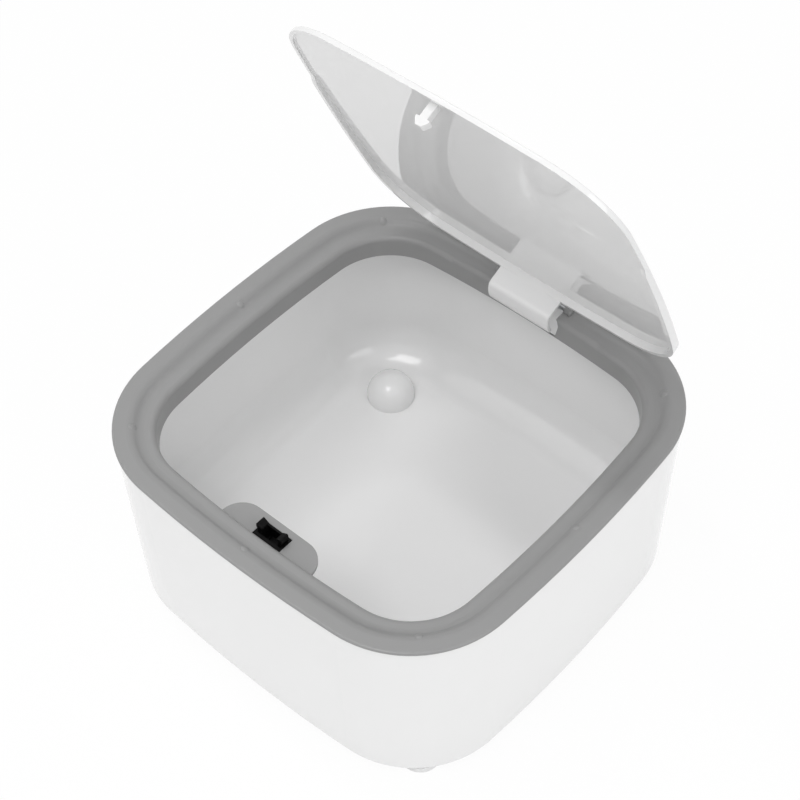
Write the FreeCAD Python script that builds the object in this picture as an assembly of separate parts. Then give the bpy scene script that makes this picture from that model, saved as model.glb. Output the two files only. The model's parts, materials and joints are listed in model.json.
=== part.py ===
import FreeCAD, Part
import math
import os

V = FreeCAD.Vector

# A square countertop bin: tapered shell on four feet, lift-off collar, sprung lid and push latch.
# Millimetres. +Z is up, the latch is on the -Y side, the hinge on the +Y side, Z = 0 under the feet.

# Plan outline of bin and collar: four bowed sides joined by round corners
collar_width = 170.0
side_bow_radius = 595.5
corner_radius = 41.9

# Bin shell
body_height = 79.2
body_rim_inset = 0.6
body_lean = 2.3
body_wall = 1.8
rim_rounding = 0.4
base_rounding = 1.5
floor_thickness = 2.0
floor_rounding = 16.2
floor_core_inset = 22.0
groove_width = 10.8
groove_height = 7.5

# Domes in the bin floor, hollow from below
dome_inset = 34.6
dome_radius = 9.6
dome_foot = 1.5
dome_wall = 1.8

# Feet
foot_inset = 21.3
foot_radius = 7.5
foot_height = 3.0
foot_rounding = 0.6
foot_boss_margin = 0.5

# Collar section, measured inward from the outline and down from the crest
collar_wall = 1.8
crest_wall = 1.2
collar_edge_rounding = 0.85
crest_width = 6.6
step_run = 2.8
step_drop = 2.6
step_rounding = 4.2
ledge_reach = 15.0
mouth_rounding = 2.2
mouth_depth = 11.5
mouth_draft = 0.5
small_rounding = 0.3
skirt_gap = 0.35
skirt_wall = 1.6
skirt_draft = 0.25
skirt_depth = 9.0

# Shallow round-backed notches in the top of the collar's step
notch_inset = 7.7
notch_radius = 1.5
notch_drop = 1.0

# Latch tab on the front of the collar
tab_drop = 7.0
tab_reach = 25.6
tab_half_width = 20.6
tab_rounding = 9.0
tab_blend = 1.6
tab_wall = 1.2

# Lid
lid_inset = 14.22
lid_bow_radius = 509.9
lid_corner_radius = 28.27
lid_panel = 1.3
lid_front_depth = 2.1
lid_front_wall = 1.6
lid_rear_depth = 4.15
lid_rear_wall = 2.0
lid_top_rounding = 0.8
lid_step_place = 24.4
lid_step_slant = 5.4
lid_ledge_gap = 0.4
lid_open_angle = 65.5
lid_press_angle = 0.8

# Hinge
pivot_offset = 5.12
pin_radius = 1.0
pin_length = 34.2
pin_fit = 0.05
pin_end_gap = 0.1
ear_inner = 14.35
ear_length = 3.4
ear_wall = 0.6
pocket_rear = 3.3
slot_half_width = 16.5
slot_foot_half_width = 15.0
slot_top_drop = 0.7
slot_rounding = 2.6
lip_height = 0.4
lip_depth = 0.5

# Hinge arm of the lid
arm_half_width = 14.0
arm_wall = 1.5
arm_outer_radius = 10.3
arm_heel_rounding = 3.0
arm_end_reach = 2.1
web_inner = 8.0
web_thickness = 2.0
eye_radius = 2.1
web_crown = 1.2

# Lid spring, wound round the hinge pin
lid_wire_radius = 0.45
lid_coil_radius = 2.2
lid_coil_pitch = 1.5
lid_coil_turns = 7
fixed_leg_drop = 4.6
fixed_leg_gap = 0.1
free_leg = 3.8

# Latch housing
housing_half_width = 6.25
housing_rear_gap = 2.7
housing_depth = 6.9
housing_height = 22.0
housing_side_wall = 0.8
housing_rear_wall = 0.8
housing_floor = 1.2
housing_fit = 0.1
latch_cavity_depth = 4.2
catch_reach = 0.7
catch_height = 1.6

# Latch slider and jaws, drawn latched and then raised and spread
slider_side_gap = 0.3
slider_face_gap = 0.35
slider_height = 6.8
slider_stroke = 2.0
socket_drop = 14.4
socket_centre = 3.575
socket_fit = 0.05
socket_cover = 1.2
socket_inner_angle = 55.0
socket_outer_angle = 65.0
jaw_foot_radius = 1.1
jaw_arm_half = 0.6
jaw_arm_height = 7.65
jaw_hook_height = 2.4
jaw_top_inset = 0.5
jaw_top_rounding = 0.5
jaw_tip_height = 0.35
jaw_tip_inset = 1.85
jaw_hook_flare = 0.35
jaw_spread_angle = 10.0
spigot_radius = 0.9
spigot_height = 1.5
latch_wire_radius = 0.2
latch_coil_radius = 1.45
latch_coil_turns = 6
latch_spring_gap = 0.3

# Heart-shaped track on the slider's face and the pin that follows it
track_depth = 1.0
track_half_width = 2.6
track_top = 3.6
track_bottom = 0.75
heart_tip = 1.45
heart_notch = 2.3
heart_half_width = 0.75
heart_height = 3.0
cam_wire_radius = 0.4
cam_pivot_height = 2.5
cam_length = 11.0
cam_stand_off = 0.75
cam_reach = 0.65
cam_slot_half_width = 2.2
cam_slot_gap = 0.35
cam_fit = 0.05

# Striker under the lid's front edge
striker_half_width = 1.5
striker_depth = 3.4
striker_barb = 2.65
striker_shoulder = 5.75
striker_barb_height = 0.9
striker_tip = 8.75
striker_tip_half = 1.1

# Every cut runs this far past the faces it opens
overrun = 1.0

# Heights and places that follow from the sizes above
half_width = collar_width / 2
outline = (half_width, side_bow_radius, corner_radius)
dome_spacing = collar_width - 2 * dome_inset
foot_spacing = collar_width - 2 * foot_inset
lid_width = collar_width - 2 * lid_inset
lid_outline = (lid_width / 2, lid_bow_radius, lid_corner_radius)
base_z = foot_height
rim_z = base_z + body_height
crest_z = rim_z + crest_wall
ledge_z = crest_z - step_drop
mouth_z = crest_z - mouth_depth
tab_z = crest_z - tab_drop
tab_y = -half_width + tab_reach
wall_y = half_width - ledge_reach
pivot_y = lid_width / 2 + pivot_offset
pivot_z = ledge_z + lid_ledge_gap
lid_top_z = pivot_z + lid_rear_depth
lid_under_z = lid_top_z - lid_panel
housing_rear_y = tab_y - housing_rear_gap
housing_front_y = housing_rear_y - housing_depth
cavity_rear_y = housing_rear_y - housing_rear_wall
cavity_front_y = cavity_rear_y - latch_cavity_depth
latch_y = (cavity_rear_y + cavity_front_y) / 2
latch_half_depth = latch_cavity_depth / 2 - slider_face_gap
housing_base_z = tab_z - housing_height
cavity_base_z = housing_base_z + housing_floor
cavity_half_width = housing_half_width - housing_side_wall
slider_half_width = cavity_half_width - slider_side_gap
socket_z = crest_z - socket_drop + slider_stroke
slider_top_z = socket_z + socket_cover
slider_base_z = slider_top_z - slider_height
spring_top_z = slider_base_z - latch_spring_gap
cam_pivot_z = housing_base_z + cam_pivot_height
cam_y = latch_y - latch_half_depth - cam_stand_off
cam_tip_z = cam_pivot_z + cam_length


def front(across, up):
    """Point of an elevation drawn as seen from the front."""
    return V(across, 0, up)


def side(across, up):
    """Point of a section drawn along Y and Z."""
    return V(0, across, up)


def plan(across, along):
    """Point of a plan view."""
    return V(across, along, 0)


def rounded_face(corners, place):
    """Flat face from corners given as across, up and rounding radius."""
    nodes = [(place(across, up), rounding) for across, up, rounding in corners]
    edges, cuts = [], []
    for index, (corner, rounding) in enumerate(nodes):
        back = (nodes[index - 1][0] - corner).normalize()
        onward = (nodes[(index + 1) % len(nodes)][0] - corner).normalize()
        if rounding == 0:
            cuts.append((corner, corner))
            continue
        half = back.getAngle(onward) / 2
        middle = (back + onward).normalize() * (rounding / math.sin(half) - rounding)
        start = corner + back * (rounding / math.tan(half))
        end = corner + onward * (rounding / math.tan(half))
        cuts.append((start, end))
        edges.append(Part.Arc(start, corner + middle, end).toShape())
    for index, (start, end) in enumerate(cuts):
        before = cuts[index - 1][1]
        if before.distanceToPoint(start) > rim_rounding / 1000:
            edges.append(Part.makeLine(before, start))
    return Part.Face(Part.Wire(Part.__sortEdges__(edges)))


def corner_place(shape):
    """Distance of a corner's arc centre from the middle, the same along X and Y."""
    half, bow, corner = shape
    reach, span = bow - half, bow - corner
    return (math.sqrt(2 * span ** 2 - reach ** 2) - reach) / 2


def arc_plan(shape):
    """Centre, radius, first and last angle of one side's arc and the corner's after it."""
    half, bow, corner = shape
    place = corner_place(shape)
    turn = math.degrees(math.atan2(place, place + bow - half))
    return [(V(half - bow, 0, 0), bow, -turn, turn), (V(place, place, 0), corner, turn, 90 - turn)]


def around(centre, radius, angle, z):
    """Point at a radius and angle about a centre."""
    turned = math.radians(angle)
    return centre + V(radius * math.cos(turned), radius * math.sin(turned), z)


def slab(shape, inset, low, high):
    """Solid slab in the outline's shape, a constant inset inside it."""
    edges = []
    for quarter in range(4):
        spin = FreeCAD.Rotation(V(0, 0, 1), 90 * quarter)
        for centre, radius, first, last in arc_plan(shape):
            angles = (first, (first + last) / 2, last)
            points = [spin.multVec(around(centre, radius - inset, angle, low)) for angle in angles]
            edges.append(Part.Arc(*points).toShape())
    return Part.Face(Part.Wire(edges)).extrude(V(0, 0, high - low))


def ring(shape, corners):
    """Closed ring whose section, given inward from the outline, is turned about each arc's centre."""
    sectors = []
    for quarter in range(4):
        for centre, radius, first, last in arc_plan(shape):
            section = rounded_face([(radius - inset, up, r) for inset, up, r in corners], front)
            section.rotate(V(0, 0, 0), V(0, 0, 1), first)
            section.translate(centre)
            sector = section.revolve(centre, V(0, 0, 1), last - first)
            sector.rotate(V(0, 0, 0), V(0, 0, 1), 90 * quarter)
            sectors.append(sector)
    return sectors[0].fuse(sectors[1:]).removeSplitter()


def block(x, y, z):
    """Box between the low and high value of each pair."""
    return Part.makeBox(x[1] - x[0], y[1] - y[0], z[1] - z[0], V(x[0], y[0], z[0]))


def rod(start, end, radius):
    """Round bar between two points."""
    line = end - start
    return Part.makeCylinder(radius, line.Length, start, line)


def prism(corners, place, start, depth):
    """Rounded face drawn by place, moved to start and extruded by depth."""
    face = rounded_face(corners, place)
    face.translate(start)
    return face.extrude(depth)


def mirrored(shape):
    """Copy on the other side of the plane x = 0."""
    return shape.mirror(V(0, 0, 0), V(1, 0, 0))


def about_hinge(shape, angle):
    """Copy of a lid piece swung open by an angle in degrees."""
    copy = shape.copy()
    copy.rotate(V(0, pivot_y, pivot_z), V(-1, 0, 0), angle)
    return copy


def four_corners(spacing):
    """Names and centres of four places on a square."""
    half = spacing / 2
    return {"front_left": (-half, -half), "front_right": (half, -half),
            "back_left": (-half, half), "back_right": (half, half)}


def bin_body():
    """Tapered shell with a rounded floor edge, a groove under it and four hollow domes in its floor."""
    lean, wall = body_rim_inset + body_lean, body_rim_inset + body_wall
    floor_z, crown_z = base_z + floor_thickness, base_z + floor_thickness + dome_foot
    shell = ring(outline, [(floor_core_inset, base_z, 0), (lean, base_z, base_rounding),
                           (body_rim_inset, rim_z, rim_rounding), (wall, rim_z, rim_rounding),
                           (lean + body_wall, floor_z, floor_rounding), (floor_core_inset, floor_z, 0)])
    skirt = lean + body_wall
    groove = ring(outline, [(skirt, base_z - overrun, 0), (skirt, base_z + groove_height, 0),
                            (skirt + groove_width, base_z, 0), (skirt + groove_width, base_z - overrun, 0)])
    for x, y in four_corners(foot_spacing).values():
        groove = groove.cut(rod(V(x, y, base_z - overrun), V(x, y, rim_z), foot_radius + foot_boss_margin))
    shell = shell.cut(groove).fuse(slab(outline, floor_core_inset, base_z, floor_z))
    places = four_corners(dome_spacing).values()
    shell = shell.fuse([dome(x, y, base_z, crown_z, dome_radius) for x, y in places])
    hollows = [dome(x, y, base_z - overrun, crown_z, dome_radius - dome_wall) for x, y in places]
    return shell.cut(hollows).removeSplitter()


def dome(x, y, low, crown_z, radius):
    """Upright round bar that ends in a half ball."""
    ball = Part.makeSphere(radius, V(x, y, crown_z), V(0, 0, 1), 0, 90, 360)
    return rod(V(x, y, low), V(x, y, crown_z), radius).fuse(ball)


def foot(x, y):
    """Round pad under one corner."""
    pad = rod(V(x, y, 0), V(x, y, foot_height), foot_radius)
    rim = [edge for edge in pad.Edges if edge.Closed and edge.CenterOfMass.z < foot_height / 2]
    return pad.makeFillet(foot_rounding, rim)


def collar_section():
    """Section of the collar: crest, step, ledge, mouth wall, and the skirt inside the bin's rim."""
    slope = math.atan2(step_drop, step_run)
    shift = collar_wall * math.tan(slope / 2)
    under_z, step_end = crest_z - crest_wall, crest_width + step_run
    skirt = body_rim_inset + body_wall + skirt_gap
    skirt_z = crest_z - skirt_depth
    mouth_end = ledge_reach + mouth_draft
    return [(0, under_z, small_rounding), (0, crest_z, collar_edge_rounding),
            (crest_width, crest_z, step_rounding), (step_end, ledge_z, step_rounding),
            (ledge_reach, ledge_z, mouth_rounding), (mouth_end, mouth_z, small_rounding),
            (mouth_end - collar_wall, mouth_z, small_rounding),
            (ledge_reach - collar_wall, ledge_z - collar_wall, 0),
            (step_end - shift, ledge_z - collar_wall, 0),
            (crest_width - crest_wall * math.tan(slope / 2), under_z, 0),
            (skirt + skirt_wall, under_z, 0),
            (skirt + skirt_wall + skirt_draft, skirt_z, small_rounding),
            (skirt + skirt_draft, skirt_z, small_rounding), (skirt, under_z, 0)]


def tab_plate():
    """Plate of the latch tab, from inside the collar's front mouth wall to its rounded free edge."""
    root = -wall_y - collar_wall / 2
    return prism([(-tab_half_width, root, 0), (-tab_half_width, tab_y, tab_rounding),
                  (tab_half_width, tab_y, tab_rounding), (tab_half_width, root, 0)],
                 plan, V(0, 0, tab_z - tab_wall), V(0, 0, tab_wall))


def tab_blended(collar):
    """Round off the two upright inner corners where the tab leaves the mouth wall."""
    found = []
    for edge in collar.Edges:
        box = edge.BoundBox
        upright = box.ZLength > tab_wall / 2 and box.XLength + box.YLength < tab_wall / 2
        beside = abs(abs(box.Center.x) - tab_half_width) < tab_wall / 4
        if upright and beside and abs(box.Center.y + wall_y) < tab_wall:
            found.append(edge)
    return collar.makeFillet(tab_blend, found)


def step_notch(angle, reach):
    """Round cutter for one notch of the collar's step, at an angle and reach from the middle."""
    place = around(V(0, 0, 0), reach - notch_inset, angle, 0)
    return rod(place + V(0, 0, crest_z - notch_drop), place + V(0, 0, crest_z + overrun), notch_radius)


def hinge_ear():
    """Barrel on the collar's ledge that holds one end of the hinge pin."""
    barrel = rod(V(ear_inner, pivot_y, pivot_z), V(ear_inner + ear_length, pivot_y, pivot_z), pin_radius + ear_wall)
    outer = [edge for edge in barrel.Edges if edge.Closed and edge.CenterOfMass.x > ear_inner + ear_length / 2]
    return barrel.makeFillet(ear_wall, outer)


def collar_ring():
    """Collar with its latch tab, hinge pocket, ears and the slot that the lid's arm swings through."""
    collar = ring(outline, collar_section())
    corner_reach = corner_place(outline) * math.sqrt(2) + corner_radius
    notches = [step_notch(90 * quarter + 45, corner_reach) for quarter in range(4)]
    notches += [step_notch(90 * quarter, half_width) for quarter in (0, 2, 3)]
    collar = tab_blended(collar.fuse(tab_plate()).removeSplitter())
    collar = collar.cut(block((-housing_half_width - housing_fit, housing_half_width + housing_fit),
                              (housing_front_y - housing_fit, housing_rear_y + housing_fit),
                              (mouth_z - overrun, tab_z + overrun)))
    ear = hinge_ear()
    collar = collar.fuse([ear, mirrored(ear)])
    inner_y = wall_y - mouth_draft - overrun
    lip_z = mouth_z + lip_height
    slot = prism([(-slot_foot_half_width, lip_z, 0), (-slot_half_width, pivot_z - slot_top_drop, slot_rounding),
                  (slot_half_width, pivot_z - slot_top_drop, slot_rounding), (slot_foot_half_width, lip_z, 0)],
                 front, V(0, inner_y, 0), V(0, wall_y + collar_wall + overrun - inner_y, 0))
    pocket = block((-ear_inner, ear_inner), (inner_y, pivot_y + pocket_rear), (lip_z, crest_z + overrun))
    thin = block((-slot_foot_half_width, slot_foot_half_width),
                 (wall_y - mouth_draft + lip_depth, wall_y + collar_wall + overrun), (mouth_z - overrun, lip_z + overrun))
    pin_hole = rod(V(-half_width, pivot_y, pivot_z), V(half_width, pivot_y, pivot_z), pin_radius + pin_fit)
    reach = pin_length / 2 + pin_end_gap
    pin_hole = pin_hole.common(block((-reach, reach), (wall_y, half_width), (mouth_z, crest_z)))
    return collar.cut([slot, pocket, thin, pin_hole] + notches).removeSplitter()


def hinge_pin():
    """Steel pin through the ears and the arm's eyes."""
    half = pin_length / 2
    return rod(V(-half, pivot_y, pivot_z), V(half, pivot_y, pivot_z), pin_radius)


def lid_shell():
    """Lid panel with a shallow rim at the front and a deeper skirt round the rear, drawn level.

    The skirt's lower edge rises towards the front, so that the closed lid can be pressed down."""
    front_z, rear_z = lid_top_z - lid_front_depth, lid_top_z - lid_rear_depth
    inner = lid_rear_wall + lid_top_rounding
    rims = []
    for wall, low in ((lid_front_wall, front_z), (lid_rear_wall, rear_z - overrun)):
        rims.append(ring(lid_outline, [(inner, lid_top_z, 0), (0, lid_top_z, lid_top_rounding),
                                       (0, low, small_rounding), (wall, low, small_rounding),
                                       (wall, lid_under_z, small_rounding), (inner, lid_under_z, 0)]))
    half, rise = lid_width / 2, math.tan(math.radians(lid_press_angle))
    step_y = -lid_step_place
    foot_y = step_y + lid_step_slant
    region = prism([(foot_y, rear_z + (half - foot_y) * rise, 0), (step_y, lid_under_z, 0),
                    (half + overrun, lid_under_z, 0), (half + overrun, rear_z - overrun * rise, 0)],
                   side, V(-half - overrun, 0, 0), V(2 * (half + overrun), 0, 0))
    lid = slab(lid_outline, lid_rear_wall, lid_under_z, lid_top_z)
    return lid.fuse([rims[0], rims[1].common(region)]).removeSplitter()


def hinge_arm():
    """Curved arm that runs from the lid's skirt round the pivot, with two webs and their eyes, level."""
    inner_radius = arm_outer_radius - arm_wall
    face_y = -pivot_offset - lid_rear_wall
    back_y = face_y + arm_wall
    turned = math.asin(arm_end_reach / arm_outer_radius)
    outer_end = (arm_end_reach, -arm_outer_radius * math.cos(turned))
    inner_end = (inner_radius * math.sin(turned), -inner_radius * math.cos(turned))
    heel = (face_y, -math.sqrt(arm_outer_radius ** 2 - face_y ** 2))
    crook = (back_y, -math.sqrt(inner_radius ** 2 - back_y ** 2))
    outer_bottom, inner_bottom = V(0, 0, -arm_outer_radius), V(0, 0, -inner_radius)
    edges = [Part.makeLine(side(face_y, 0), side(*heel)),
             Part.Arc(side(*heel), outer_bottom, side(*outer_end)).toShape(),
             Part.makeLine(side(*outer_end), side(*inner_end)),
             Part.Arc(side(*inner_end), inner_bottom, side(*crook)).toShape(),
             Part.makeLine(side(*crook), side(back_y, 0)),
             Part.makeLine(side(back_y, 0), side(face_y, 0))]
    channel = Part.Face(Part.Wire(edges))
    channel.translate(V(-arm_half_width, 0, 0))
    channel = channel.extrude(V(2 * arm_half_width, 0, 0))
    bends = [edge for edge in channel.Edges if edge.BoundBox.XLength > arm_half_width
             and min(abs(edge.CenterOfMass.z - heel[1]), abs(edge.CenterOfMass.z - crook[1])) < small_rounding
             and edge.CenterOfMass.y < back_y + small_rounding]
    channel = channel.makeFillet(arm_heel_rounding - arm_wall, bends)
    disc = rod(V(web_inner, 0, 0), V(web_inner + web_thickness, 0, 0), inner_radius + arm_wall / 2)
    fan = prism([((face_y + back_y) / 2, 0, 0), (back_y, 0, 0), (0, web_crown, 0), (inner_end[0], 0, 0),
                 (inner_end[0], -arm_outer_radius, 0), ((face_y + back_y) / 2, -arm_outer_radius, 0)],
                side, V(web_inner, 0, 0), V(web_thickness, 0, 0))
    web = disc.common(fan).fuse(rod(V(web_inner, 0, 0), V(web_inner + web_thickness, 0, 0), eye_radius))
    webs = [web, mirrored(web)]
    arm = channel.fuse(webs).removeSplitter()
    arm = arm.cut(rod(V(-arm_half_width, 0, 0), V(arm_half_width, 0, 0), pin_radius + pin_fit))
    arm.translate(V(0, pivot_y, pivot_z))
    return arm


def striker():
    """Barbed stem under the lid's front edge that the latch grips, level."""
    low = lid_under_z - striker_tip
    shoulder = lid_under_z - striker_shoulder
    half = [(striker_half_width, lid_under_z, 0), (striker_half_width, shoulder, 0), (striker_barb, shoulder, 0),
            (striker_barb, shoulder - striker_barb_height, small_rounding), (striker_tip_half, low, small_rounding)]
    other = [(-x, z, r) for x, z, r in reversed(half)]
    return prism(half + other, front, V(0, latch_y - striker_depth / 2, 0), V(0, striker_depth, 0))


def latch_housing():
    """Open-topped case of the latch with side catches and a slot for the follower pin."""
    case = block((-housing_half_width, housing_half_width), (housing_front_y, housing_rear_y),
                 (housing_base_z, tab_z))
    catch_top = tab_z - tab_wall - housing_fit
    catch = prism([(housing_half_width, catch_top, 0), (housing_half_width + catch_reach, catch_top, 0),
                   (housing_half_width, catch_top - catch_height, 0)],
                  front, V(0, latch_y - latch_half_depth, 0), V(0, 2 * latch_half_depth, 0))
    case = case.fuse([catch, mirrored(catch)])
    cavity = block((-cavity_half_width, cavity_half_width), (cavity_front_y, cavity_rear_y),
                   (cavity_base_z, tab_z + overrun))
    slot_front_y = cam_y - cam_wire_radius - cam_slot_gap
    slot = block((-cam_slot_half_width, cam_slot_half_width), (slot_front_y, cavity_front_y + overrun),
                 (cam_pivot_z - cam_wire_radius - cam_slot_gap, cam_tip_z + cam_wire_radius + 2 * cam_slot_gap))
    hole = rod(V(0, housing_front_y - overrun, cam_pivot_z), V(0, cavity_front_y, cam_pivot_z),
               cam_wire_radius + cam_fit)
    return case.cut([cavity, slot, hole]).removeSplitter()


def heart_track():
    """Recess round a heart-shaped island, cut into the slider's front face."""
    well = prism([(-track_half_width, cam_tip_z - track_bottom, track_bottom),
                  (track_half_width, cam_tip_z - track_bottom, track_bottom),
                  (track_half_width, cam_tip_z + track_top, track_bottom),
                  (-track_half_width, cam_tip_z + track_top, track_bottom)],
                 front, V(0, latch_y - latch_half_depth - overrun, 0), V(0, track_depth + overrun, 0))
    heart = prism([(0, cam_tip_z + heart_tip, 0), (heart_half_width, cam_tip_z + heart_notch, 0),
                   (heart_half_width, cam_tip_z + heart_height, 0), (0, cam_tip_z + heart_notch, 0),
                   (-heart_half_width, cam_tip_z + heart_height, 0), (-heart_half_width, cam_tip_z + heart_notch, 0)],
                  front, V(0, latch_y - latch_half_depth, 0), V(0, track_depth, 0))
    return well.cut(heart)


def latch_slider():
    """Slider with a round socket for each jaw, the heart track and a spigot for its spring."""
    rear_y, front_y = latch_y + latch_half_depth, latch_y - latch_half_depth
    slider = block((-slider_half_width, slider_half_width), (front_y, rear_y), (slider_base_z, slider_top_z))
    slider = slider.fuse(rod(V(0, latch_y, slider_base_z), V(0, latch_y, slider_base_z - spigot_height), spigot_radius))
    depth = V(0, rear_y - front_y + 2 * overrun, 0)
    start = V(socket_centre, front_y - overrun, socket_z)
    socket = Part.makeCylinder(jaw_foot_radius + socket_fit, depth.Length, start, depth)
    rise = socket_cover + overrun
    throat = prism([(0, 0, 0), (-rise * math.tan(math.radians(socket_inner_angle)), rise, 0),
                    (rise * math.tan(math.radians(socket_outer_angle)), rise, 0)], front, start, depth)
    cuts = [socket, throat, mirrored(socket), mirrored(throat), heart_track()]
    return slider.cut(cuts).removeSplitter()


def latch_jaw(hand):
    """One jaw: round foot, slim arm and hook, raised and spread; hand is 1 on the right, -1 on the left."""
    tip, flare = jaw_tip_inset - socket_centre, jaw_arm_half + jaw_hook_flare
    top = jaw_arm_height + jaw_hook_height
    arm = prism([(-jaw_arm_half, 0, 0), (-jaw_arm_half, jaw_arm_height, 0), (tip, jaw_arm_height, 0),
                 (tip, jaw_arm_height + jaw_tip_height, 0), (flare - jaw_top_inset, top, jaw_top_rounding),
                 (flare, jaw_arm_height, 0), (jaw_arm_half, jaw_arm_height - 2 * jaw_hook_flare, 0),
                 (jaw_arm_half, 0, 0)],
                front, V(0, -latch_half_depth, 0), V(0, 2 * latch_half_depth, 0))
    foot_roll = rod(V(0, -latch_half_depth, 0), V(0, latch_half_depth, 0), jaw_foot_radius)
    jaw = arm.fuse(foot_roll).removeSplitter()
    jaw.rotate(V(0, 0, 0), V(0, 1, 0), jaw_spread_angle)
    jaw.translate(V(socket_centre, latch_y, socket_z))
    return jaw if hand > 0 else mirrored(jaw)


def latch_cam_pin():
    """Bent wire whose foot turns in the housing and whose tip follows the heart track."""
    front_y = housing_front_y + overrun / 2
    foot_end = rod(V(0, front_y, cam_pivot_z), V(0, cam_y, cam_pivot_z), cam_wire_radius)
    stem = rod(V(0, cam_y, cam_pivot_z), V(0, cam_y, cam_tip_z), cam_wire_radius)
    tip_y = latch_y - latch_half_depth + cam_reach
    tip = rod(V(0, cam_y, cam_tip_z), V(0, tip_y, cam_tip_z), cam_wire_radius)
    elbows = [Part.makeSphere(cam_wire_radius, V(0, cam_y, z)) for z in (cam_pivot_z, cam_tip_z)]
    return foot_end.fuse([stem, tip] + elbows).removeSplitter()


def biarc(start, start_way, end, end_way):
    """Two tangent arcs that leave start along start_way and reach end along end_way."""
    chord, ways = end - start, start_way + end_way
    spread = 2 * (1 - start_way.dot(end_way))
    along = chord.dot(ways)
    reach = (math.sqrt(along ** 2 + spread * chord.dot(chord)) - along) / spread
    middle = (start + start_way * reach + end - end_way * reach) / 2
    arcs = []
    for first, way, last in ((start, start_way, middle), (end, -end_way, middle)):
        line = last - first
        normal = (line - way * line.dot(way)).normalize()
        radius = line.dot(line) / (2 * line.dot(normal))
        centre = first + normal * radius
        outward = ((first + last) / 2 - centre).normalize()
        points = (first, centre + outward * radius, last)
        arcs.append(Part.Arc(*(points if first is start else points[::-1])).toShape())
    return arcs


def coil_point(radius, pitch, turns):
    """Point and unit direction of a helix along Z after a number of turns."""
    angle = 2 * math.pi * turns
    point = V(radius * math.cos(angle), radius * math.sin(angle), pitch * turns)
    way = V(-2 * math.pi * radius * math.sin(angle), 2 * math.pi * radius * math.cos(angle), pitch)
    return point, way.normalize()


def coil(radius, pitch, turns, wire_radius, first_leg, last_leg, name):
    """One unbroken tube: a helix in quarter-turn biarcs with a straight leg at each end."""
    count = math.ceil(4 * turns)
    steps = [coil_point(radius, pitch, turns * step / count) for step in range(count + 1)]
    edges = []
    if first_leg > 0:
        edges.append(Part.makeLine(steps[0][0] - steps[0][1] * first_leg, steps[0][0]))
    for (start, start_way), (end, end_way) in zip(steps, steps[1:]):
        edges += biarc(start, start_way, end, end_way)
    if last_leg > 0:
        edges.append(Part.makeLine(steps[-1][0], steps[-1][0] + steps[-1][1] * last_leg))
    path = Part.Wire(edges)
    begin = edges[0].Vertexes[0].Point
    circle = Part.Wire(Part.makeCircle(wire_radius, begin, steps[0][1]))
    print(name, "least gap between turns", round(least_gap(path, radius, wire_radius), 3), "mm")
    return path.makePipeShell([circle], True, False)


def least_gap(path, radius, wire_radius):
    """Least clear distance between stretches of the wire that are over half a turn apart."""
    points = path.discretize(Number=round(path.Length / wire_radius * 2))
    spacing = path.Length / (len(points) - 1)
    apart = math.ceil(math.pi * radius / spacing)
    gaps = [a.distanceToPoint(b) for i, a in enumerate(points) for b in points[i + apart:]]
    return min(gaps) - 2 * wire_radius


def lid_spring():
    """Torsion spring round the pin: fixed leg down to the collar's skirt, free leg towards the arm."""
    skirt_y = half_width - body_rim_inset - body_wall - skirt_gap - skirt_wall - skirt_draft
    bearing_y = skirt_y - lid_wire_radius - fixed_leg_gap - pivot_y
    reach = math.hypot(bearing_y, fixed_leg_drop)
    start = 90 + math.degrees(math.acos(lid_coil_radius / reach) - math.atan2(fixed_leg_drop, bearing_y))
    fixed_leg = math.sqrt(reach ** 2 - lid_coil_radius ** 2)
    turns = lid_coil_turns + (180 - start) / 360
    spring = coil(lid_coil_radius, lid_coil_pitch, turns, lid_wire_radius, fixed_leg, free_leg, "lid_spring")
    spring.translate(V(0, 0, -lid_coil_pitch * turns / 2))
    spring.rotate(V(0, 0, 0), V(0, 1, 0), 90)
    spring.rotate(V(0, 0, 0), V(1, 0, 0), start)
    spring.translate(V(0, pivot_y, pivot_z))
    return spring


def latch_spring():
    """Small coil spring between the housing floor and the slider."""
    low = cavity_base_z + latch_wire_radius
    pitch = (spring_top_z - latch_wire_radius - low) / latch_coil_turns
    spring = coil(latch_coil_radius, pitch, latch_coil_turns, latch_wire_radius, 0, 0, "latch_spring")
    spring.translate(V(0, latch_y, low))
    return spring


def main():
    """Build every piece and write its file."""
    os.makedirs("parts", exist_ok=True)
    pieces = {"bin_body": bin_body(), "collar_ring": collar_ring(), "hinge_pin": hinge_pin(),
              "lid_spring": lid_spring(), "latch_housing": latch_housing(), "latch_spring": latch_spring(),
              "latch_slider": latch_slider(), "latch_jaw_left": latch_jaw(-1), "latch_jaw_right": latch_jaw(1),
              "latch_cam_pin": latch_cam_pin()}
    for name, (x, y) in four_corners(foot_spacing).items():
        pieces["foot_" + name] = foot(x, y)
    for name, piece in (("lid_shell", lid_shell()), ("hinge_arm", hinge_arm()), ("striker", striker())):
        pieces[name] = about_hinge(piece, lid_open_angle)
    for name, piece in pieces.items():
        piece.exportStep("parts/" + name + ".step")
        print(name, "solids", len(piece.Solids), "volume", round(piece.Volume, 1), "valid", piece.isValid())


main()
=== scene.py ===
import json
import math

import bmesh
import bpy
from mathutils import Matrix, Vector


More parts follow.
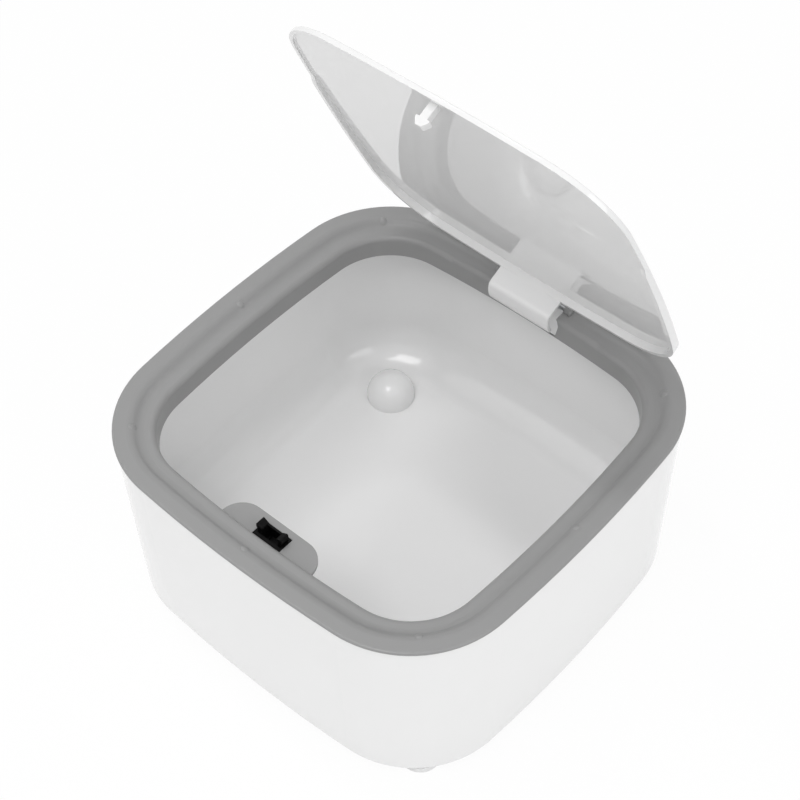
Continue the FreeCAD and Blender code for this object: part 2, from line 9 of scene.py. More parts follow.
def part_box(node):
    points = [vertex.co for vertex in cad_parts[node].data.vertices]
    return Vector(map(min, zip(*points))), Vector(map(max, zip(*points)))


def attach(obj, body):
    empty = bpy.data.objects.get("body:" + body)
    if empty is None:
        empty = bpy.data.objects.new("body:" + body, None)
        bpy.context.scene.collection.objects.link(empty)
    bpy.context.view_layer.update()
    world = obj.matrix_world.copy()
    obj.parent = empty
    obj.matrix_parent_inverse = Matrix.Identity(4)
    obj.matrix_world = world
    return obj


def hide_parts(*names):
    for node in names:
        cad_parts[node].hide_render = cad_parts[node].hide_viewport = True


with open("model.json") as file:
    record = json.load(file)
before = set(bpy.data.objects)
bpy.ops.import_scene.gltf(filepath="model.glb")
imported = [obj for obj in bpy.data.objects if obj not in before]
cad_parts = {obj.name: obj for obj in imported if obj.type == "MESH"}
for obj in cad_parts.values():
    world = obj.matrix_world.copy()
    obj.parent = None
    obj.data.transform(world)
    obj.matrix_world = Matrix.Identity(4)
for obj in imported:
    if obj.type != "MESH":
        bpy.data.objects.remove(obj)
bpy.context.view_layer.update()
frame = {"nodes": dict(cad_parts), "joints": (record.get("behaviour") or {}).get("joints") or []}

bl_info = {
    "name": "Countertop Bin",
    "version": (1, 0, 0),
    "blender": (4, 5, 0),
    "location": "View3D > Sidebar > Bin",
    "description": "Models the lid of a countertop bin and finishes its other pieces",
    "category": "Object",
}

MM = 0.001
QUARTER = math.radians(90)
ACROSS, BACKWARD, FORWARD, UP = Vector((1, 0, 0)), Vector((0, 1, 0)), Vector((0, -1, 0)), Vector((0, 0, 1))

# Shorter lines than a hair aren't drawn, a seam is closed in a finished piece, and a level is met this nearly
HAIR, SEAM, LEVEL = MM / 10000, MM / 1000, MM / 100

# Edges that bend more than these are rounded, or stay sharp in the shading
ROUNDED_OVER, SHARP_OVER = math.radians(50), math.radians(40)

# Steps of the arcs: degrees for each step of a drawn corner, then steps in all
CORNER_DEGREES = 15
LID_SIDE_STEPS, LID_CORNER_STEPS, ARM_STEPS, WEB_STEPS, PIN_SIDES = 8, 32, 10, 16, 48

lid_hinge = next(joint for joint in frame["joints"] if joint["name"] == "lid_hinge")
pivot = Vector(lid_hinge["pos_m"])


# Colours and nodes

def linear(code):
    """Linear colour of an sRGB hex code."""
    shares = [int(code[place:place + 2], 16) / 255 for place in (1, 3, 5)]
    return tuple(c / 12.92 if c <= 0.04045 else ((c + 0.055) / 1.055) ** 2.4 for c in shares)


def add_node(tree, kind, settings=None, inputs=None, links=None):
    """Adds a node to a tree, with its properties, input values and the sockets linked to its inputs."""
    node = tree.nodes.new(kind)
    for name, value in (settings or {}).items():
        setattr(node, name, value)
    for name, value in (inputs or {}).items():
        node.inputs[name].default_value = value
    for name, socket in (links or {}).items():
        tree.links.new(socket, node.inputs[name])
    return node


def blank_material(name):
    """A material with an empty node tree."""
    material = bpy.data.materials.get(name) or bpy.data.materials.new(name)
    material.use_nodes = True
    material.node_tree.nodes.clear()
    return material


def drifting_colour(tree, colour, shade, pattern):
    """Socket of a colour that drifts between itself and a shade of itself."""
    tint = add_node(tree, "ShaderNodeMix", {"data_type": "RGBA"}, links={"Factor": pattern})
    tint.inputs["A"].default_value = (*colour, 1)
    tint.inputs["B"].default_value = (*[c * shade for c in colour], 1)
    return tint.outputs["Result"]


def seen_directly(tree):
    """Socket that is 1 where the camera or a reflection looks and 0 for the light that falls on things."""
    path = add_node(tree, "ShaderNodeLightPath")
    seen = add_node(tree, "ShaderNodeMath", {"operation": "MAXIMUM"},
                    links={0: path.outputs["Is Camera Ray"], 1: path.outputs["Is Glossy Ray"]})
    return seen.outputs["Value"]


def moulded_plastic(name, colour, shade, roughness, grain_mm, grain_depth_mm, cloud_mm, specular=0.5, ior=1.5):
    """Injection-moulded plastic: a base colour that drifts a little, mould grain and uneven gloss."""
    material = blank_material(name)
    tree = material.node_tree
    place = add_node(tree, "ShaderNodeTexCoord").outputs["Object"]
    cloud = add_node(tree, "ShaderNodeTexNoise", inputs={"Scale": 1 / (cloud_mm * MM), "Detail": 3.0},
                     links={"Vector": place}).outputs["Fac"]
    grain = add_node(tree, "ShaderNodeTexNoise", inputs={"Scale": 1 / (grain_mm * MM), "Detail": 2.0},
                     links={"Vector": place}).outputs["Fac"]
    gloss = add_node(tree, "ShaderNodeMapRange", inputs={"To Min": roughness[0], "To Max": roughness[1]},
                     links={"Value": cloud}).outputs["Result"]
    bump = add_node(tree, "ShaderNodeBump", inputs={"Strength": 1.0, "Distance": grain_depth_mm * MM},
                    links={"Height": grain}).outputs["Normal"]
    shader = add_node(tree, "ShaderNodeBsdfPrincipled", inputs={"IOR": ior, "Specular IOR Level": specular},
                      links={"Base Color": drifting_colour(tree, colour, shade, cloud), "Roughness": gloss,
                             "Normal": bump})
    add_node(tree, "ShaderNodeOutputMaterial", links={"Surface": shader.outputs["BSDF"]})
    return material


def drawn_steel(name, colour, shade, roughness, line_mm, line_stretch):
    """Drawn steel wire or pin: bright metal with fine lines along its length."""
    material = blank_material(name)
    tree = material.node_tree
    place = add_node(tree, "ShaderNodeTexCoord").outputs["Object"]
    along = add_node(tree, "ShaderNodeMapping", inputs={"Scale": (1 / line_stretch, 1, 1)},
                     links={"Vector": place}).outputs["Vector"]
    lines = add_node(tree, "ShaderNodeTexNoise", inputs={"Scale": 1 / (line_mm * MM), "Detail": 3.0},
                     links={"Vector": along}).outputs["Fac"]
    gloss = add_node(tree, "ShaderNodeMapRange", inputs={"To Min": roughness[0], "To Max": roughness[1]},
                     links={"Value": lines}).outputs["Result"]
    shader = add_node(tree, "ShaderNodeBsdfPrincipled", inputs={"Metallic": 1.0},
                      links={"Base Color": drifting_colour(tree, colour, shade, lines), "Roughness": gloss})
    add_node(tree, "ShaderNodeOutputMaterial", links={"Surface": shader.outputs["BSDF"]})
    return material


def dress(names, material):
    """Gives CAD nodes a material."""
    for name in names:
        node = frame["nodes"][name]
        node.data.materials.clear()
        node.data.materials.append(material)


# Modelling

def begin(name, add, **settings):
    """Closes what is open, then adds a primitive with nothing else selected and opens it for editing."""
    if bpy.context.mode != "OBJECT":
        bpy.ops.object.mode_set(mode="OBJECT")
    bpy.ops.object.select_all(action="DESELECT")
    add(**settings)
    piece = bpy.context.active_object
    piece.name = name
    bpy.ops.object.mode_set(mode="EDIT")
    return piece


def pick(kind, test):
    """Selects the vertices, edges or faces of the open mesh that pass a test."""
    mesh = bmesh.from_edit_mesh(bpy.context.active_object.data)
    bpy.ops.mesh.select_mode(type=kind)
    bpy.ops.mesh.select_all(action="DESELECT")
    for part in {"VERT": mesh.verts, "EDGE": mesh.edges, "FACE": mesh.faces}[kind]:
        if test(part):
            part.select_set(True)
    mesh.select_flush(True)
    bmesh.update_edit_mesh(bpy.context.active_object.data)


def push(offset):
    """Extrudes the selection by an offset."""
    bpy.ops.mesh.extrude_region_move(TRANSFORM_OT_translate={"value": tuple(offset)})


def turn(angle, centre, axis, steps):
    """Spins the selection about an axis, anticlockwise as seen against the axis."""
    bpy.ops.mesh.spin(steps=steps, angle=-angle, center=tuple(centre), axis=tuple(axis))


def line_to(point):
    """Extrudes the selected end of a line to a point, unless it is there already."""
    mesh = bmesh.from_edit_mesh(bpy.context.active_object.data)
    end = next(vert.co.copy() for vert in mesh.verts if vert.select)
    if (point - end).length > HAIR:
        push(point - end)


def line_from(name, point):
    """Starts a line: a small plane whose one kept corner is moved to a point."""
    piece = begin(name, bpy.ops.mesh.primitive_plane_add, size=MM)
    pick("VERT", lambda vert: vert.index > 0)
    bpy.ops.mesh.delete(type="VERT")
    bpy.ops.mesh.select_all(action="SELECT")
    kept = next(iter(bmesh.from_edit_mesh(piece.data).verts)).co
    bpy.ops.transform.translate(value=point - kept)
    return piece


def draw(name, points, normal, closed):
    """Draws a line through points, each given with its rounding, on a plane with a normal.

    A closed line starts half way along its last side."""
    corners = [point for point, _ in points]
    first = (corners[-1] + corners[0]) / 2 if closed else corners[0]
    piece = line_from(name, first)
    inner = range(len(points)) if closed else range(1, len(points) - 1)
    for index in inner:
        corner, rounding = points[index]
        arrive = (corner - corners[index - 1]).normalized()
        leave = (corners[(index + 1) % len(points)] - corner).normalized()
        bend = math.atan2(normal.dot(arrive.cross(leave)), arrive.dot(leave))
        start = corner - arrive * rounding * math.tan(abs(bend) / 2)
        line_to(start)
        if rounding > 0:
            centre = start + normal.cross(arrive) * math.copysign(rounding, bend)
            turn(bend, centre, normal, max(3, round(math.degrees(abs(bend)) / CORNER_DEGREES)))
    line_to(first if closed else corners[-1])
    bpy.ops.mesh.select_all(action="SELECT")
    bpy.ops.mesh.remove_doubles(threshold=HAIR)
    return piece


def corner_place(half, bow, corner):
    """Distance of a bowed square's corner centre from its middle, the same along X and Y."""
    reach, span = bow - half, bow - corner
    return (math.sqrt(2 * span ** 2 - reach ** 2) - reach) / 2


def run_round(half, bow, corner):
    """Spins the open section, drawn at y = 0 on the right, once round a bowed square."""
    reach, place = bow - half, corner_place(half, bow, corner)
    side = math.atan2(place, place + reach)
    bpy.ops.mesh.select_all(action="SELECT")
    for number in range(4):
        here, onward = (Matrix.Rotation(QUARTER * count, 3, "Z") for count in (number, number + 1))
        turn(side, here @ Vector((-reach, 0, 0)), UP, LID_SIDE_STEPS)
        turn(QUARTER - 2 * side, here @ Vector((place, place, 0)), UP, LID_CORNER_STEPS)
        turn(side, onward @ Vector((-reach, 0, 0)), UP, LID_SIDE_STEPS)
    close_seams()


def close_seams():
    """Merges the open mesh's doubles and points its faces outwards."""
    bpy.ops.mesh.select_all(action="SELECT")
    bpy.ops.mesh.remove_doubles(threshold=SEAM)
    bpy.ops.mesh.normals_make_consistent(inside=False)


def prism(name, points, normal, depth):
    """Solid with a drawn outline, pushed along the outline's normal."""
    piece = draw(name, points, normal, True)
    bpy.ops.mesh.edge_face_add()
    push(normal * depth)
    close_seams()
    return piece


def hinge_cylinder(name, radius, length, middle):
    """Cylinder along the hinge."""
    return begin(name, bpy.ops.mesh.primitive_cylinder_add, vertices=PIN_SIDES, radius=radius, depth=length,
                 location=middle, rotation=(0, QUARTER, 0))


def combine(piece, other, operation):
    """Applies a boolean of two closed pieces to the first and removes the second."""
    bpy.ops.object.mode_set(mode="OBJECT")
    bpy.context.view_layer.objects.active = piece
    joint = piece.modifiers.new("combine", "BOOLEAN")
    joint.operation = operation
    joint.object = other
    bpy.ops.object.modifier_apply(modifier=joint.name)
    bpy.data.objects.remove(other)


def soften(piece, radius=0):
    """Rounds the piece's sharp edges, if a radius is given, and shades the rest smooth."""
    bpy.ops.object.select_all(action="DESELECT")
    piece.select_set(True)
    bpy.context.view_layer.objects.active = piece
    if radius > 0:
        bevel = piece.modifiers.new("bevel", "BEVEL")
        bevel.width = radius
        bevel.segments = 3
        bevel.limit_method = "ANGLE"
        bevel.angle_limit = ROUNDED_OVER
        bpy.ops.object.modifier_apply(modifier=bevel.name)
    bpy.ops.object.shade_smooth_by_angle(angle=SHARP_OVER)
    even = piece.modifiers.new("even", "WEIGHTED_NORMAL")
    even.keep_sharp = True
    bpy.ops.object.modifier_apply(modifier=even.name)


def swing_open(piece, angle):
    """Turns a lid piece that was modelled level about the hinge to its place at rest."""
    bpy.ops.object.mode_set(mode="EDIT")
    bpy.ops.mesh.select_all(action="SELECT")
    bpy.ops.transform.rotate(value=angle, orient_axis="X", center_override=tuple(pivot))
    bpy.ops.object.mode_set(mode="OBJECT")


def finish_piece(piece, body, nodes, material):
    """Dresses a new piece, lets it ride on its body and stand for its CAD nodes."""
    piece.data.materials.clear()
    piece.data.materials.append(material)
    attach(piece, body)
    if nodes:
        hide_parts(*nodes)


# Settings

class BinFinishes(bpy.types.PropertyGroup):
    """Colours of the bin's mouldings."""
    body: bpy.props.FloatVectorProperty(name="Body white", description="Colour of the bin body",
                                        subtype="COLOR", size=3, default=linear("#F3F3F3"))
    lid: bpy.props.FloatVectorProperty(name="Lid white", description="Colour of the lid",
                                       subtype="COLOR", size=3, default=linear("#EDEDED"))
    collar: bpy.props.FloatVectorProperty(name="Collar grey", description="Colour of the lift-off collar",
                                          subtype="COLOR", size=3, default=linear("#929292"))
    latch: bpy.props.FloatVectorProperty(name="Latch black", description="Colour of the push latch",
                                         subtype="COLOR", size=3, default=linear("#040404"))
    feet: bpy.props.FloatVectorProperty(name="Feet white", description="Colour of the feet",
                                        subtype="COLOR", size=3, default=linear("#EDEDED"))
    steel: bpy.props.FloatVectorProperty(name="Steel", description="Colour of the pin and springs",
                                         subtype="COLOR", size=3, default=linear("#C4C6C8"))


class BinMarks(bpy.types.PropertyGroup):
    """Sizes of the soft marks that fill the notches of the collar's step."""
    bow_radius: bpy.props.FloatProperty(name="Collar bow", description="Radius of the collar's bowed sides",
                                        unit="LENGTH", default=595.5 * MM)
    corner_radius: bpy.props.FloatProperty(name="Collar corner", description="Radius of the collar's corners",
                                           unit="LENGTH", default=41.9 * MM)
    inset: bpy.props.FloatProperty(name="Mark inset", description="Distance of a mark from the collar's edge",
                                   unit="LENGTH", default=7.3 * MM)
    height: bpy.props.FloatProperty(name="Mark height", description="Height of the middle of a mark",
                                    unit="LENGTH", default=82.0 * MM)
    size: bpy.props.FloatVectorProperty(name="Mark size", description="Half sizes down, along and off the slope",
                                        subtype="XYZ", unit="LENGTH", size=3,
                                        default=(1.9 * MM, 1.75 * MM, 0.85 * MM))
    slope: bpy.props.FloatProperty(name="Step slope", description="Slope of the collar's step",
                                   subtype="ANGLE", default=math.radians(42.9))


class BinLid(bpy.types.PropertyGroup):
    """Sizes of the lid, modelled level, and how far it stands open."""
    half_width: bpy.props.FloatProperty(name="Half width", description="Half the lid's width across its sides",
                                        unit="LENGTH", default=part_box("lid_shell")[1][0])
    bow_radius: bpy.props.FloatProperty(name="Side bow", description="Radius of the lid's bowed sides",
                                        unit="LENGTH", default=509.9 * MM)
    corner_radius: bpy.props.FloatProperty(name="Corner radius", description="Radius of the lid's corners",
                                           unit="LENGTH", default=28.27 * MM)
    panel: bpy.props.FloatProperty(name="Panel", description="Thickness of the lid's panel",
                                   unit="LENGTH", default=1.3 * MM)
    front_depth: bpy.props.FloatProperty(name="Front depth", description="Depth of the shallow rim at the front",
                                         unit="LENGTH", default=2.1 * MM)
    rear_depth: bpy.props.FloatProperty(name="Rear depth", description="Depth of the skirt round the rear",
                                        unit="LENGTH", default=4.15 * MM)
    front_wall: bpy.props.FloatProperty(name="Front wall", description="Wall of the shallow rim",
                                        unit="LENGTH", default=1.6 * MM)
    rear_wall: bpy.props.FloatProperty(name="Rear wall", description="Wall of the rear skirt",
                                       unit="LENGTH", default=2.0 * MM)
    edge_rounding: bpy.props.FloatProperty(name="Edge rounding", description="Rounding of the lid's top edge",
                                           unit="LENGTH", default=0.8 * MM)
    inner_rounding: bpy.props.FloatProperty(name="Inner rounding", description="Rounding between wall and panel",
                                            unit="LENGTH", default=0.3 * MM)
    rim_rounding: bpy.props.FloatProperty(name="Rim rounding", description="Rounding of the lower edges",
                                          unit="LENGTH", default=0.25 * MM)
    step_place: bpy.props.FloatProperty(name="Step place", description="Where the skirt's step meets the rim",
                                        unit="LENGTH", default=-24.4 * MM)
    step_slant: bpy.props.FloatProperty(name="Step slant", description="Run of the skirt's slanted step",
                                        unit="LENGTH", default=5.4 * MM)
    open_angle: bpy.props.FloatProperty(name="Open angle", description="How far the lid stands open at rest",
                                        subtype="ANGLE", default=math.radians(65.5))
    press_angle: bpy.props.FloatProperty(name="Press angle", description="Rise of the skirt's lower edge",
                                         subtype="ANGLE", default=math.radians(0.8))


class BinArm(bpy.types.PropertyGroup):
    """Sizes of the lid's hinge arm."""
    half_width: bpy.props.FloatProperty(name="Arm half width", description="Half the arm's width along the hinge",
                                        unit="LENGTH", default=14.0 * MM)
    wall: bpy.props.FloatProperty(name="Arm wall", description="Thickness of the curved arm",
                                  unit="LENGTH", default=1.5 * MM)
    face: bpy.props.FloatProperty(name="Arm face", description="Distance of the arm's flat face from the pivot",
                                  unit="LENGTH", default=7.12 * MM)
    radius: bpy.props.FloatProperty(name="Arm radius", description="Outer radius of the arm's curve",
                                    unit="LENGTH", default=10.3 * MM)
    heel: bpy.props.FloatProperty(name="Heel rounding", description="Outer radius between face and curve",
                                  unit="LENGTH", default=3.0 * MM)
    end: bpy.props.FloatProperty(name="Arm end", description="How far the curve runs past the pivot",
                                 unit="LENGTH", default=2.1 * MM)
    web_inner: bpy.props.FloatProperty(name="Web place", description="Distance of each web from the middle",
                                       unit="LENGTH", default=8.0 * MM)
    web: bpy.props.FloatProperty(name="Web thickness", description="Thickness of the two webs",
                                 unit="LENGTH", default=2.0 * MM)
    eye: bpy.props.FloatProperty(name="Eye radius", description="Outer radius of the eyes round the pin",
                                 unit="LENGTH", default=2.1 * MM)
    hole: bpy.props.FloatProperty(name="Hole radius", description="Radius of the hole for the pin",
                                  unit="LENGTH", default=1.05 * MM)
    edge_rounding: bpy.props.FloatProperty(name="Arm edges", description="Rounding of the arm's edges",
                                           unit="LENGTH", default=0.35 * MM)


class BinStriker(bpy.types.PropertyGroup):
    """Sizes of the striker, down from the lid's underside."""
    stem: bpy.props.FloatProperty(name="Stem half width", description="Half the stem's width",
                                  unit="LENGTH", default=1.5 * MM)
    barb: bpy.props.FloatProperty(name="Barb half width", description="Half the barb's width",
                                  unit="LENGTH", default=2.65 * MM)
    tip: bpy.props.FloatProperty(name="Tip half width", description="Half the tip's width",
                                 unit="LENGTH", default=1.1 * MM)
    depth: bpy.props.FloatProperty(name="Striker depth", description="Size from front to back",
                                   unit="LENGTH", default=3.4 * MM)
    place: bpy.props.FloatProperty(name="Striker place", description="Where its middle stands, level",
                                   unit="LENGTH", default=-65.0 * MM)
    shoulder: bpy.props.FloatProperty(name="Shoulder", description="Length down to the barb's shoulder",
                                      unit="LENGTH", default=5.75 * MM)
    barb_height: bpy.props.FloatProperty(name="Barb height", description="Height of the barb's upright side",
                                         unit="LENGTH", default=0.9 * MM)
    length: bpy.props.FloatProperty(name="Striker length", description="Length down to the tip",
                                    unit="LENGTH", default=8.75 * MM)
    rounding: bpy.props.FloatProperty(name="Striker edges", description="Rounding of the striker's edges",
                                      unit="LENGTH", default=0.25 * MM)


class BinStage(bpy.types.PropertyGroup):
    """The camera's place and the room's light."""
    azimuth: bpy.props.FloatProperty(name="Camera azimuth", description="Turn of the camera round the bin",
                                     subtype="ANGLE", default=math.radians(42.3126))
    elevation: bpy.props.FloatProperty(name="Camera elevation", description="Height of the camera as an angle",
                                       subtype="ANGLE", default=math.radians(50.5602))
    roll: bpy.props.FloatProperty(name="Camera roll", description="Turn of the camera about its view",
                                  subtype="ANGLE", default=math.radians(-1.5123))
    distance: bpy.props.FloatProperty(name="Camera distance", description="Distance from the aim point",
                                      unit="LENGTH", default=0.692216)
    aim_height: bpy.props.FloatProperty(name="Aim height", description="Height of the point the camera circles",
                                        unit="LENGTH", default=0.05415)
    across: bpy.props.FloatProperty(name="Pan across", description="Camera's move to its right",
                                    unit="LENGTH", default=-0.000297)
    down: bpy.props.FloatProperty(name="Pan down", description="Camera's move towards its lower side",
                                  unit="LENGTH", default=-0.0215858)
    lens: bpy.props.FloatProperty(name="Lens", description="Focal length in millimetres", default=86.0706)
    sensor: bpy.props.FloatProperty(name="Sensor", description="Width of the sensor in millimetres", default=36.0)
    floor_width: bpy.props.FloatProperty(name="Floor width", description="Side of the square floor",
                                         unit="LENGTH", default=8.0)
    floor_glow: bpy.props.FloatProperty(name="Floor glow", description="Share of its own white in the floor",
                                        default=0.95)
    room_light: bpy.props.FloatProperty(name="Room light", description="Strength of the light from all round",
                                        default=0.61)


# Materials, each named for its plastic, metal or paper

def body_white():
    """Glossy white polypropylene, moulded in a polished tool: soft sheen, faint cloudiness, no grain."""
    return moulded_plastic("moulded_polypropylene_white", bpy.context.scene.bin_finishes.body, shade=0.975,
                           roughness=(0.08, 0.13), grain_mm=3.0, grain_depth_mm=0.004, cloud_mm=35.0)


def lid_white():
    """Polished white polystyrene: mirror-like at a low angle, faint ripple from the tool."""
    return moulded_plastic("polished_polystyrene_white", bpy.context.scene.bin_finishes.lid, shade=0.98,
                           roughness=(0.015, 0.03), grain_mm=30.0, grain_depth_mm=0.001, cloud_mm=40.0, ior=1.59)


def collar_grey():
    """Satin grey polypropylene: fine etched mould grain, drawn coarser than the real 0.1 mm so that it shows."""
    return moulded_plastic("satin_polypropylene_grey", bpy.context.scene.bin_finishes.collar, shade=0.96,
                           roughness=(0.32, 0.42), grain_mm=0.8, grain_depth_mm=0.010, cloud_mm=22.0)


def foot_white():
    """White thermoplastic rubber: matt, with a soft uneven face."""
    return moulded_plastic("thermoplastic_rubber_white", bpy.context.scene.bin_finishes.feet, shade=0.94,
                           roughness=(0.55, 0.7), grain_mm=0.7, grain_depth_mm=0.02, cloud_mm=6.0)


def latch_black():
    """Black acetal: self-lubricating moulding, matt enough to give back almost no light."""
    return moulded_plastic("moulded_acetal_black", bpy.context.scene.bin_finishes.latch, shade=0.7,
                           roughness=(0.5, 0.65), grain_mm=0.6, grain_depth_mm=0.012, cloud_mm=3.0, specular=0.12)


def steel():
    """Zinc-bright drawn spring steel: fine lines from the die, on a wire that shines unevenly."""
    return drawn_steel("drawn_spring_steel", bpy.context.scene.bin_finishes.steel, shade=0.8,
                       roughness=(0.22, 0.4), line_mm=0.4, line_stretch=20)


def floor_paper(glow_share):
    """Seamless white paper: the camera and reflections see it glow white, and it keeps the bin's shadow."""
    material = blank_material("seamless_paper_white")
    tree = material.node_tree
    seen = seen_directly(tree)
    paper = add_node(tree, "ShaderNodeBsdfDiffuse", inputs={"Color": (*linear("#F2F2F2"), 1)})
    glow = add_node(tree, "ShaderNodeEmission", inputs={"Color": (1, 1, 1, 1)}, links={"Strength": seen})
    share = add_node(tree, "ShaderNodeMath", {"operation": "MULTIPLY"}, inputs={1: glow_share}, links={0: seen})
    mix = add_node(tree, "ShaderNodeMixShader", links={"Fac": share.outputs["Value"], 1: paper.outputs["BSDF"],
                                                      2: glow.outputs["Emission"]})
    add_node(tree, "ShaderNodeOutputMaterial", links={"Surface": mix.outputs["Shader"]})
    return material


# New pieces, those of the lid modelled level and swung open last

def step_marks(marks):
    """Soft marks on the collar's step, at its corners and in the middle of its sides but the back."""
    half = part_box("collar_ring")[1][0]
    corner = corner_place(half, marks.bow_radius, marks.corner_radius) * math.sqrt(2) + marks.corner_radius
    spots = [(half, angle) for angle in (0, 180, 270)] + [(corner, angle) for angle in (45, 135, 225, 315)]
    ball = {"segments": 32, "ring_count": 16, "radius": 1}
    piece = begin("step_marks", bpy.ops.mesh.primitive_uv_sphere_add, **ball)
    bpy.ops.mesh.select_all(action="SELECT")
    for number, (reach, angle) in enumerate(spots):
        if number > 0:
            bpy.ops.mesh.primitive_uv_sphere_add(**ball)
        bpy.ops.transform.resize(value=marks.size, center_override=(0, 0, 0))
        bpy.ops.transform.rotate(value=marks.slope, orient_axis="Y", center_override=(0, 0, 0))
        bpy.ops.transform.translate(value=(reach - marks.inset, 0, marks.height))
        bpy.ops.transform.rotate(value=-math.radians(angle), orient_axis="Z", center_override=(0, 0, 0))
    bpy.ops.object.mode_set(mode="OBJECT")
    bpy.ops.object.shade_smooth()
    return piece


def lid_cutter(lid):
    """Solid below the lid's lower edge: shallow rim at the front, slanted step, deep skirt at the rear."""
    top = pivot.z + lid.rear_depth
    front, margin = top - lid.front_depth, lid.rear_depth
    half, rise = lid.half_width, math.tan(lid.press_angle)
    foot = lid.step_place + lid.step_slant
    slant = (lid.front_depth - lid.panel) / (lid.rear_depth - lid.panel) * lid.step_slant
    profile = [(-half - margin, front), (lid.step_place + slant, front), (foot, pivot.z + (half - foot) * rise),
               (half + margin, pivot.z - margin * rise), (half + margin, pivot.z - margin),
               (-half - margin, pivot.z - margin)]
    points = [(Vector((-half - margin, y, z)), 0) for y, z in profile]
    return prism("lid_cutter", points, ACROSS, 2 * (half + margin))


def lid_moulding(lid):
    """Lid: a section spun round the bowed square, closed by its panel, with its lower edge cut to shape."""
    top = pivot.z + lid.rear_depth
    under, low = top - lid.panel, pivot.z - lid.rear_depth / 10
    inner = lid.rear_wall + 2 * lid.edge_rounding

    def at(inset, z, rounding=0):
        return Vector((lid.half_width - inset, 0, z)), rounding

    def inside_front_rim(face):
        middle = face.calc_center_median()
        return (abs(face.normal.z) < 0.1 and middle.y < lid.step_place
                and face.normal.dot(middle.xy.to_3d()) < 0)

    section = [at(inner, top), at(0, top, lid.edge_rounding), at(0, low), at(lid.rear_wall, low),
               at(lid.rear_wall, under, lid.inner_rounding), at(inner, under)]
    piece = draw("lid_moulding", section, FORWARD, False)
    run_round(lid.half_width, lid.bow_radius, lid.corner_radius)
    for level in (top, under):
        pick("EDGE", lambda edge: edge.is_boundary and abs(edge.verts[0].co.z - level) < LEVEL)
        bpy.ops.mesh.edge_face_add()
    close_seams()
    combine(piece, lid_cutter(lid), "DIFFERENCE")
    bpy.ops.object.mode_set(mode="EDIT")
    pick("FACE", inside_front_rim)
    spread = 1 + (lid.rear_wall - lid.front_wall) / (lid.half_width - lid.rear_wall)
    bpy.ops.transform.resize(value=(spread, spread, 1), center_override=(0, 0, 0))
    bpy.ops.object.mode_set(mode="OBJECT")
    soften(piece, lid.rim_rounding)
    swing_open(piece, lid.open_angle)
    return piece


def hinge_arm(arm, lid):
    """Arm: a strip pushed down its flat face, spun round the heel and round the pivot, with two webs."""
    embed = lid.rear_depth / 3
    piece = begin("lid_arm", bpy.ops.mesh.primitive_plane_add, size=2 * arm.half_width)
    bpy.ops.transform.resize(value=(1, arm.wall / (2 * arm.half_width), 1))
    bpy.ops.transform.translate(value=(0, pivot.y - arm.face + arm.wall / 2, pivot.z + embed))
    heel_y = arm.heel - arm.face
    heel_z = -math.sqrt((arm.radius - arm.heel) ** 2 - heel_y ** 2)
    push((0, 0, heel_z - embed))
    first = math.atan2(-heel_z, -heel_y)
    turn(first, pivot + Vector((0, heel_y, heel_z)), ACROSS, ARM_STEPS)
    turn(QUARTER - first + math.asin(arm.end / arm.radius), pivot, ACROSS, ARM_STEPS)
    close_seams()
    bpy.ops.object.mode_set(mode="OBJECT")
    soften(piece, arm.edge_rounding)
    for hand in (-1, 1):
        combine(piece, arm_web(arm, hand), "UNION")
    combine(piece, hinge_cylinder("pin_hole", arm.hole, 4 * arm.half_width, pivot), "DIFFERENCE")
    soften(piece)
    swing_open(piece, lid.open_angle)
    return piece


def arm_web(arm, hand):
    """One web inside the arm's curve, with its eye round the pin; hand is 1 on the right, -1 on the left."""
    start = pivot + Vector((hand * arm.web_inner, 0, 0))
    middle = arm.face - arm.wall / 2
    radius = arm.radius - arm.wall / 2
    first = math.asin(middle / radius)
    piece = line_from("arm_web", start + Vector((0, -middle, 0)))
    line_to(start + Vector((0, -middle, -radius * math.cos(first))))
    turn(first + math.asin(arm.end / arm.radius), start, ACROSS, WEB_STEPS)
    line_to(start + Vector((0, arm.end, 0)))
    line_to(start + Vector((0, 0, arm.eye / 2)))
    bpy.ops.mesh.select_all(action="SELECT")
    bpy.ops.mesh.edge_face_add()
    push((hand * arm.web, 0, 0))
    close_seams()
    place = pivot + Vector((hand * (arm.web_inner + arm.web / 2), 0, 0))
    combine(piece, hinge_cylinder("arm_eye", arm.eye, arm.web, place), "UNION")
    return piece


def striker(sizes, lid):
    """Striker: its barbed outline pushed from front to back, with rounded edges."""
    under = pivot.z + lid.rear_depth - lid.panel
    shoulder, low = under - sizes.shoulder, under - sizes.length
    half = [(sizes.stem, under + lid.panel / 2, 0), (sizes.stem, shoulder, sizes.rounding),
            (sizes.barb, shoulder, sizes.rounding), (sizes.barb, shoulder - sizes.barb_height, sizes.rounding),
            (sizes.tip, low, sizes.rounding)]
    other = [(-x, z, rounding) for x, z, rounding in reversed(half)]
    points = [(Vector((x, sizes.place - sizes.depth / 2, z)), rounding) for x, z, rounding in half + other]
    piece = prism("lid_striker", points, BACKWARD, sizes.depth)
    bpy.ops.object.mode_set(mode="OBJECT")
    soften(piece, sizes.rounding)
    swing_open(piece, lid.open_angle)
    return piece


# Stage

# Each lamp's name, place, size across and down, and power in watts
LAMPS = (("front_lamp", (0.1, -0.6, 1.5), (0.6, 0.6), 6.3), ("left_lamp", (-0.55, 0.0, 1.52), (0.1, 0.4), 3.0),
         ("right_lamp", (1.3, -0.1, 0.8), (0.8, 0.8), 3.7), ("fill_lamp", (-0.8, -1.0, 0.9), (0.9, 0.9), 1.3))


